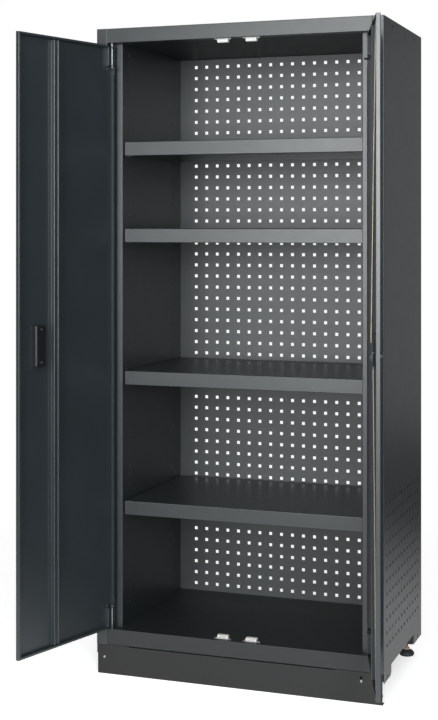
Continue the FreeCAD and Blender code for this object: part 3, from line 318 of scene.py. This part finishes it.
def make_materials():
    paint, metal, plastic = paint_group(), metal_group(), plastic_group()
    yellow = {"Color": (0.42, 0.365, 0.3, 1), "Tint": (0.36, 0.29, 0.22, 1), "Roughness": 0.5, "Lines": 0.15}
    return {
        # Each coat's edge colour is lighter: wear on the folded edges and a painted highlight where they
        # catch light
        "dark_paint": finish_material(
            "anthracite_powder_coat", paint, specular=0.9, Color=(0.015, 0.0195, 0.021, 1),
            Edge_Color=(0.08, 0.087, 0.09, 1), Roughness=0.38, Peel=0.15),
        # Back panel: a lighter copy of the anthracite coat, painted light for the light the back panel
        # catches
        "back_coat_with_painted_light": finish_material(
            "back_panel_coat_with_painted_light", paint, specular=0.65, Color=(0.048, 0.0518, 0.0525, 1),
            Edge_Color=(0.1, 0.105, 0.108, 1), Roughness=0.4, Peel=0.15),
        # Floor and ceiling panels: a darker copy of the anthracite coat, painted shade inside the cabinet
        "inner_coat_with_painted_shade": finish_material(
            "floor_and_ceiling_coat_with_painted_shade", paint, specular=0.6, Color=(0.012, 0.0138, 0.0145, 1),
            Edge_Color=(0.08, 0.087, 0.09, 1), Roughness=0.5, Peel=0.2),
        # Doors, their stiffeners and hinge brackets: a lighter, bluer copy of the anthracite coat, painted
        # light for the light the open doors catch
        "door_coat_with_painted_light": finish_material(
            "door_powder_coat_with_painted_light", paint, specular=0.9, Color=(0.027, 0.035, 0.0395, 1),
            Edge_Color=(0.09, 0.1, 0.106, 1), Roughness=0.38, Peel=0.15),
        "plinth_coat": finish_material(
            "plinth_matt_coat", paint, specular=0.45, Color=(0.015, 0.015, 0.015, 1),
            Edge_Color=(0.07, 0.07, 0.07, 1), Roughness=0.52, Peel=0.2),
        "black_steel": finish_material(
            "black_steel", paint, Color=(0.015, 0.015, 0.016, 1),
            Edge_Color=(0.1, 0.1, 0.1, 1), Roughness=0.42, Peel=0.05),
        "zinc_steel": finish_material(
            "bright_zinc", metal, metallic=1.0, Color=(0.36, 0.37, 0.385, 1),
            Tint=(0.28, 0.29, 0.305, 1), Roughness=0.36, Lines=0.15),
        "yellow_zinc": finish_material("yellow_zinc", metal, metallic=1.0, **yellow),
        # Lock rods: yellow zinc with painted shade on the flat ends at the cam
        "lock_rod": finish_material(
            "lock_rod_zinc_with_painted_shade", metal, metallic=1.0, Dark_Color=ROD_PAINTED_SHADE_COLOR, Dark_Middle=ROD_PAINTED_SHADE_MIDDLE,
            Dark_Reach=ROD_PAINTED_SHADE_REACH, **yellow),
        "foot_stem": finish_material(
            "foot_stem_zinc", metal, metallic=1.0, Color=(0.66, 0.51, 0.4, 1), Tint=(0.52, 0.38, 0.28, 1),
            Roughness=0.36, Lines=0.1),
        "foot_pad": finish_material(
            "foot_pad_rubber", plastic, Color=(0.028, 0.031, 0.035, 1),
            Scuff_Color=(0.07, 0.075, 0.08, 1), Roughness=0.6, Grain=0.25),
        "black_plastic": finish_material(
            "black_moulding", plastic, Color=(0.012, 0.012, 0.014, 1),
            Scuff_Color=(0.06, 0.06, 0.065, 1), Roughness=0.36, Grain=0.2),
        "white_plastic": finish_material(
            "white_moulding", plastic, Color=(0.74, 0.72, 0.66, 1),
            Scuff_Color=(0.84, 0.82, 0.78, 1), Roughness=0.4, Grain=0.12),
    }


def paint_nodes():
    """Gives each node the finish of its slot, or its own where the photograph shows another."""
    finish_of = dict(slot_of, back_panel="back_coat_with_painted_light", ceiling_panel="inner_coat_with_painted_shade", floor_panel="inner_coat_with_painted_shade",
                     plinth="plinth_coat", upper_lock_rod="lock_rod", lower_lock_rod="lock_rod")
    # The doors take the lighter coat, painted light
    for side in ("left", "right"):
        for piece in ("door_skin", "door_stiffener", "hinge_brackets"):
            finish_of[side + "_" + piece] = "door_coat_with_painted_light"
    # Right hinge pins: black steel as painted shade, the same pins as the zinc left ones darkened for the
    # dark interior they reflect
    for end in ("upper", "lower"):
        finish_of["right_" + end + "_hinge_pin"] = "black_steel"
    for corner in CORNERS:
        finish_of[corner + "_foot_pad"] = "foot_pad"
    for node, finish in finish_of.items():
        mesh = nodes[node].data
        mesh.materials.clear()
        mesh.materials.append(materials[finish])


# Fasteners and threads, grown with Geometry Nodes

def detail_tree(name, sizes):
    """Empty geometry tree that takes seat points, the named sizes and a finish."""
    group = bpy.data.node_groups.new(name, "GeometryNodeTree")
    group.interface.new_socket("Seats", in_out="INPUT", socket_type="NodeSocketGeometry")
    for key in sizes:
        group.interface.new_socket(key, in_out="INPUT", socket_type="NodeSocketFloat")
    group.interface.new_socket("Finish", in_out="INPUT", socket_type="NodeSocketMaterial")
    group.interface.new_socket("Detail", in_out="OUTPUT", socket_type="NodeSocketGeometry")
    tree = Tree(group)
    return group, tree, tree.add("NodeGroupInput").outputs


def set_on_seats(tree, given, shape):
    """Instances the shape on the seats, smooths it and gives it its finish."""
    axis = tree.add("GeometryNodeInputNamedAttribute", data_type="FLOAT_VECTOR")
    axis.inputs["Name"].default_value = "axis"
    turn = tree.add("FunctionNodeAlignRotationToVector", axis="Z")
    tree.put(turn, Vector=axis.outputs["Attribute"])
    spread = tree.add("GeometryNodeInstanceOnPoints")
    tree.put(spread, Points=given["Seats"], Instance=shape, Rotation=turn.outputs[0])
    real = tree.put(tree.add("GeometryNodeRealizeInstances"), Geometry=spread.outputs[0])
    smooth = tree.put(tree.add("GeometryNodeSetShadeSmooth"), Geometry=real.outputs[0])
    angle = tree.add("GeometryNodeInputMeshEdgeAngle")
    sharp = tree.add("GeometryNodeSetShadeSmooth", domain="EDGE")
    folded = tree.math("GREATER_THAN", angle.outputs[0], SHARP_ANGLE)
    tree.put(sharp, Geometry=smooth.outputs[0], Selection=folded, Shade_Smooth=False)
    finish = tree.add("GeometryNodeSetMaterial")
    tree.put(finish, Geometry=sharp.outputs[0], Material=given["Finish"])
    tree.link(finish.outputs[0], tree.add("NodeGroupOutput").inputs[0])


def moved_up(tree, geometry, height):
    offset = tree.put(tree.add("ShaderNodeCombineXYZ"), Z=height)
    place = tree.put(tree.add("GeometryNodeTransform"), Geometry=geometry, Translation=offset.outputs[0])
    return place.outputs[0]


def post(tree, radius, length, top, sides):
    """Upright cylinder that ends at the given height."""
    body = tree.put(tree.add("GeometryNodeMeshCylinder"), Vertices=sides, Radius=radius, Depth=length)
    middle = tree.math("SUBTRACT", top, tree.math("MULTIPLY", length, 0.5))
    return moved_up(tree, body.outputs["Mesh"], middle)


def joined(tree, *parts):
    join = tree.add("GeometryNodeJoinGeometry")
    for part in parts:
        tree.link(part, join.inputs[0])
    return join.outputs[0]


def dome(tree, radius, height, dimple):
    """Low button head on the plane z = 0, with an optional dimple in its middle."""
    ball = tree.add("GeometryNodeMeshUVSphere")
    tree.put(ball, Segments=HEAD_SEGMENTS, Rings=HEAD_RINGS, Radius=1.0)
    point = tree.add("GeometryNodeInputPosition").outputs[0]
    place = tree.put(tree.add("ShaderNodeSeparateXYZ"), Vector=point)
    rise = tree.math("POWER", tree.math("MAXIMUM", place.outputs["Z"], 0.0), 0.5)
    if dimple:
        middle = tree.math("GREATER_THAN", rise, DIMPLE_START)
        rise = tree.math("SUBTRACT", rise, tree.math("MULTIPLY", middle, dimple))
    shaped = tree.put(
        tree.add("ShaderNodeCombineXYZ"), X=tree.math("MULTIPLY", place.outputs["X"], radius),
        Y=tree.math("MULTIPLY", place.outputs["Y"], radius), Z=tree.math("MULTIPLY", rise, height))
    return tree.put(tree.add("GeometryNodeSetPosition"), Geometry=ball.outputs["Mesh"],
                    Position=shaped.outputs[0]).outputs[0]


def screw_tree():
    """Button-head screw with a cross recess and a plain shank."""
    group, tree, given = detail_tree(
        "cross_screw", ("Head Radius", "Head Height", "Shank Radius", "Shank Length"))
    head = dome(tree, given["Head Radius"], given["Head Height"], 0.0)
    long_side = tree.math("MULTIPLY", given["Head Radius"], RECESS_LENGTH)
    short_side = tree.math("MULTIPLY", given["Head Radius"], RECESS_WIDTH)
    recess = tree.add("GeometryNodeMeshBoolean", operation="DIFFERENCE")
    tree.link(head, recess.inputs["Mesh 1"])
    for across, along in ((long_side, short_side), (short_side, long_side)):
        size = tree.put(tree.add("ShaderNodeCombineXYZ"), X=across, Y=along, Z=given["Head Height"])
        bar = tree.put(tree.add("GeometryNodeMeshCube"), Size=size.outputs[0])
        tree.link(moved_up(tree, bar.outputs["Mesh"], given["Head Height"]), recess.inputs["Mesh 2"])
    shank = post(tree, given["Shank Radius"], given["Shank Length"], 0.0, SHANK_SIDES)
    set_on_seats(tree, given, joined(tree, recess.outputs["Mesh"], shank))
    return group


def rivet_tree():
    """Blind rivet: dimpled head, body through the sheets, bulb behind."""
    group, tree, given = detail_tree(
        "blind_rivet", ("Head Radius", "Head Height", "Body Radius", "Grip", "Bulb Radius", "Bulb Length"))
    head = dome(tree, given["Head Radius"], given["Head Height"], RIVET_DIMPLE)
    body = post(tree, given["Body Radius"], given["Grip"], 0.0, RIVET_BODY_SIDES)
    behind = tree.math("MULTIPLY", given["Grip"], -1.0)
    bulb = post(tree, given["Bulb Radius"], given["Bulb Length"], behind, SHANK_SIDES)
    set_on_seats(tree, given, joined(tree, head, body, bulb))
    return group


def stem_tree():
    """Levelling-foot stem: hexagon collar and a screw thread wound on a core."""
    group, tree, given = detail_tree(
        "threaded_stem", ("Crest Radius", "Length", "Pitch", "Depth", "Hexagon Width", "Hexagon Height"))
    corner = tree.math("DIVIDE", given["Hexagon Width"], math.sqrt(3))
    collar = post(tree, corner, given["Hexagon Height"], given["Hexagon Height"], HEXAGON_SIDES)
    root = tree.math("SUBTRACT", given["Crest Radius"], given["Depth"])
    core = post(tree, root, given["Length"], given["Length"], CORE_SIDES)
    margin = tree.math("ADD", given["Hexagon Height"], tree.math("MULTIPLY", given["Depth"], 2.0))
    run = tree.math("SUBTRACT", tree.math("SUBTRACT", given["Length"], margin), given["Depth"])
    coil = tree.add("GeometryNodeCurveSpiral")
    turns = tree.math("DIVIDE", run, given["Pitch"])
    tree.put(coil, Resolution=COIL_STEPS, Rotations=turns, Start_Radius=root, End_Radius=root, Height=run)
    upright = tree.put(tree.add("GeometryNodeSetCurveNormal", mode="Z_UP"), Curve=coil.outputs[0])
    ridge = tree.add("GeometryNodeCurvePrimitiveCircle")
    tree.put(ridge, Resolution=RIDGE_SIDES, Radius=given["Depth"])
    thread = tree.put(tree.add("GeometryNodeCurveToMesh"), Curve=upright.outputs[0],
                      Profile_Curve=ridge.outputs[0], Fill_Caps=True)
    wound = moved_up(tree, thread.outputs[0], margin)
    set_on_seats(tree, given, joined(tree, collar, core, wound))
    return group


def islands(node):
    """Vertex places of each loose piece in a merged copy of a CAD node's mesh."""
    builder = bmesh.new()
    builder.from_mesh(nodes[node].data)
    bmesh.ops.remove_doubles(builder, verts=builder.verts, dist=MERGE_DISTANCE)
    left = set(builder.verts)
    found = []
    while left:
        reach = [left.pop()]
        piece = []
        while reach:
            vertex = reach.pop()
            piece.append(vertex.co.copy())
            for edge in vertex.link_edges:
                other = edge.other_vert(vertex)
                if other in left:
                    left.remove(other)
                    reach.append(other)
        found.append(piece)
    builder.free()
    return found


def head_seats(node, height, direction):
    """Foot and axis of each head in a node; the direction may depend on where the head is."""
    seats = []
    for piece in islands(node):
        low = Vector([min(point[k] for point in piece) for k in range(3)])
        high = Vector([max(point[k] for point in piece) for k in range(3)])
        middle = (low + high) / 2
        axis = direction(middle)
        top = max(point.dot(axis) for point in piece)
        seats.append((middle + axis * (top - height - middle.dot(axis)), axis))
    return seats


def grow(name, node, body, group, seats, material, sizes):
    """Runs a detail tree on its seats and keeps the result as a plain mesh in the node's stead."""
    mesh = bpy.data.meshes.new(name + "_seats")
    mesh.from_pydata([place for place, axis in seats], [], [])
    axes = mesh.attributes.new("axis", "FLOAT_VECTOR", "POINT")
    for item, (place, axis) in zip(axes.data, seats):
        item.vector = axis
    piece = bpy.data.objects.new(name, mesh)
    scene.collection.objects.link(piece)
    modifier = piece.modifiers.new("detail", "NODES")
    modifier.node_group = group
    values = dict(sizes, Finish=material)
    for socket in group.interface.items_tree:
        if socket.in_out == "INPUT" and socket.name in values:
            modifier[socket.identifier] = values[socket.name]
    shown = piece.evaluated_get(bpy.context.evaluated_depsgraph_get())
    plain = bpy.data.meshes.new_from_object(shown)
    piece.modifiers.remove(modifier)
    piece.data = plain
    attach(piece, body)
    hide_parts(node)


def make_fasteners():
    screw, rivet = screw_tree(), rivet_tree()
    small = {"Head Radius": SMALL_HEAD_RADIUS, "Head Height": SMALL_HEAD_HEIGHT,
             "Shank Radius": SMALL_SHANK_RADIUS, "Shank Length": SMALL_SHANK_LENGTH}
    pan = {"Head Radius": PAN_HEAD_RADIUS, "Head Height": PAN_HEAD_HEIGHT,
           "Shank Radius": PAN_SHANK_RADIUS, "Shank Length": PAN_SHANK_LENGTH}
    blind = {"Head Radius": RIVET_HEAD_RADIUS, "Head Height": RIVET_HEAD_HEIGHT,
             "Body Radius": RIVET_BODY_RADIUS, "Grip": RIVET_GRIP,
             "Bulb Radius": RIVET_BULB_RADIUS, "Bulb Length": RIVET_BULB_LENGTH}
    turn = math.radians(LEFT_OPEN)
    rows = (
        ("catch_screw_heads", "catch_screws", "carcass", screw, small,
         lambda place: Vector((0, 0, 1 if place.z < 1 else -1))),
        ("pull_screw_heads", "pull_screws", "left_door", screw, small,
         lambda place: Vector((math.sin(turn), math.cos(turn), 0))),
        ("plinth_screw_heads", "plinth_screws", "carcass", screw, pan, lambda place: Vector((0, -1, 0))),
        ("back_rivet_heads", "back_rivets", "carcass", rivet, blind, lambda place: Vector((0, 1, 0))),
    )
    for name, node, body, group, sizes, direction in rows:
        seats = head_seats(node, sizes["Head Height"], direction)
        grow(name, node, body, group, seats, materials[slot_of[node]], sizes)


def make_stems():
    group = stem_tree()
    for corner in CORNERS:
        node = corner + "_foot_stem"
        low, high = (Vector(end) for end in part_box(node))
        seat = Vector(((low.x + high.x) / 2, (low.y + high.y) / 2, low.z))
        sizes = {"Crest Radius": STEM_RADIUS, "Length": high.z - low.z, "Pitch": THREAD_PITCH,
                 "Depth": THREAD_DEPTH, "Hexagon Width": STEM_HEX_WIDTH, "Hexagon Height": STEM_HEX_HEIGHT}
        grow(corner + "_foot_thread", node, corner + "_foot", group, [(seat, Vector((0, 0, 1)))],
             materials["foot_stem"], sizes)


# Camera, light and floor

def make_camera():
    data = bpy.data.cameras.new("camera")
    data.sensor_width = SENSOR
    data.lens = FOCAL_PIXELS * SENSOR / IMAGE_HEIGHT
    data.shift_x = (IMAGE_WIDTH / 2 - CENTRE_X) / IMAGE_HEIGHT
    data.shift_y = (CENTRE_Y - IMAGE_HEIGHT / 2) / IMAGE_HEIGHT
    camera = bpy.data.objects.new("camera", data)
    camera.location = CAMERA_PLACE
    camera.rotation_euler = (math.radians(90), 0, math.radians(CAMERA_TURN))
    scene.collection.objects.link(camera)
    scene.camera = camera


def softbox(name, place, target, width, height, brightness):
    data = bpy.data.lights.new(name, "AREA")
    data.shape = "RECTANGLE"
    data.size = width
    data.size_y = height
    data.energy = brightness * math.pi * width * height
    data.color = SOFTBOX_COLOR
    light = bpy.data.objects.new(name, data)
    light.location = place
    aim = Vector(target) - Vector(place)
    light.rotation_euler = aim.to_track_quat("-Z", "Y").to_euler()
    scene.collection.objects.link(light)


def make_world():
    """White backdrop where the camera looks; elsewhere a dim, even studio."""
    world = bpy.data.worlds.new("studio")
    world.use_nodes = True
    scene.world = world
    tree = Tree(world.node_tree)
    background = world.node_tree.nodes["Background"]
    background.inputs["Color"].default_value = (1, 1, 1, 1)
    path = tree.add("ShaderNodeLightPath").outputs
    turn, tilt = math.radians(CAMERA_TURN), math.radians(BACKDROP_TILT)
    facing = tree.add("ShaderNodeVectorMath", operation="DOT_PRODUCT")
    tree.link(tree.add("ShaderNodeTexCoord").outputs["Generated"], facing.inputs[0])
    level = math.cos(tilt)
    facing.inputs[1].default_value = (-math.sin(turn) * level, math.cos(turn) * level, -math.sin(tilt))
    end, white = (math.cos(math.radians(angle)) for angle in (BACKDROP_END, BACKDROP_WHITE))
    backdrop = tree.span(facing.outputs["Value"], end, white, 0.0, 1.0)
    mirrored = tree.math("MULTIPLY", path["Is Glossy Ray"], backdrop)
    seen = tree.math("MAXIMUM", path["Is Camera Ray"], path["Is Transmission Ray"])
    seen = tree.math("MAXIMUM", seen, mirrored)
    tree.link(tree.span(seen, 0.0, 1.0, STUDIO_LEVEL, 1.0), background.inputs["Strength"])


def make_floor():
    """Pale floor that keeps the shadow and fades into the backdrop."""
    mesh = bpy.data.meshes.new("floor")
    builder = bmesh.new()
    bmesh.ops.create_grid(builder, x_segments=1, y_segments=1, size=FLOOR_END)
    builder.to_mesh(mesh)
    builder.free()
    floor = bpy.data.objects.new("floor", mesh)
    floor.location = (0, 0, -FLOOR_DROP)
    scene.collection.objects.link(floor)
    material = bpy.data.materials.new("floor")
    material.use_nodes = True
    tree = Tree(material.node_tree)
    shader = material.node_tree.nodes["Principled BSDF"]
    shader.inputs["Base Color"].default_value = (FLOOR_GREY, FLOOR_GREY, FLOOR_GREY, 1)
    shader.inputs["Roughness"].default_value = FLOOR_ROUGHNESS
    shader.inputs["Specular IOR Level"].default_value = 0.0
    shader.inputs["Emission Color"].default_value = (1, 1, 1, 1)
    path = tree.add("ShaderNodeLightPath").outputs
    seen = tree.math("MAXIMUM", path["Is Camera Ray"], path["Is Transmission Ray"])
    mirrored = tree.math("MULTIPLY", path["Is Glossy Ray"], FLOOR_MIRRORED)
    seen = tree.math("MAXIMUM", seen, mirrored)
    spot = tree.add("ShaderNodeTexCoord").outputs["Object"]
    axes = tree.put(tree.add("ShaderNodeSeparateXYZ"), Vector=spot).outputs
    low, high = (Vector(end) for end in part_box("roof_panel"))
    middle, half = (low + high) / 2, (high - low) / 2
    past_side = tree.math("SUBTRACT", tree.math("ABSOLUTE", axes["X"]), half.x)
    past_ends = tree.math("ABSOLUTE", tree.math("SUBTRACT", axes["Y"], middle.y))
    past_ends = tree.math("SUBTRACT", past_ends, half.y)
    past_edge = tree.math("MAXIMUM", past_side, past_ends)
    open_floor = tree.span(past_edge, -FLOOR_SHADE, 0.0, 0.0, FLOOR_LEVEL)
    tree.link(tree.math("MULTIPLY", seen, open_floor), shader.inputs["Emission Strength"])
    reach = tree.add("ShaderNodeVectorMath", operation="LENGTH")
    tree.link(spot, reach.inputs[0])
    fade = tree.span(reach.outputs["Value"], FLOOR_CLEAR, FLOOR_END, 1.0, 0.0)
    tree.link(fade, shader.inputs["Alpha"])
    mesh.materials.append(material)


materials = make_materials()
paint_nodes()
make_fasteners()
make_stems()
make_camera()
make_world()
make_floor()
for row in SOFTBOXES:
    softbox(*row)

scene.view_settings.view_transform = "Standard"
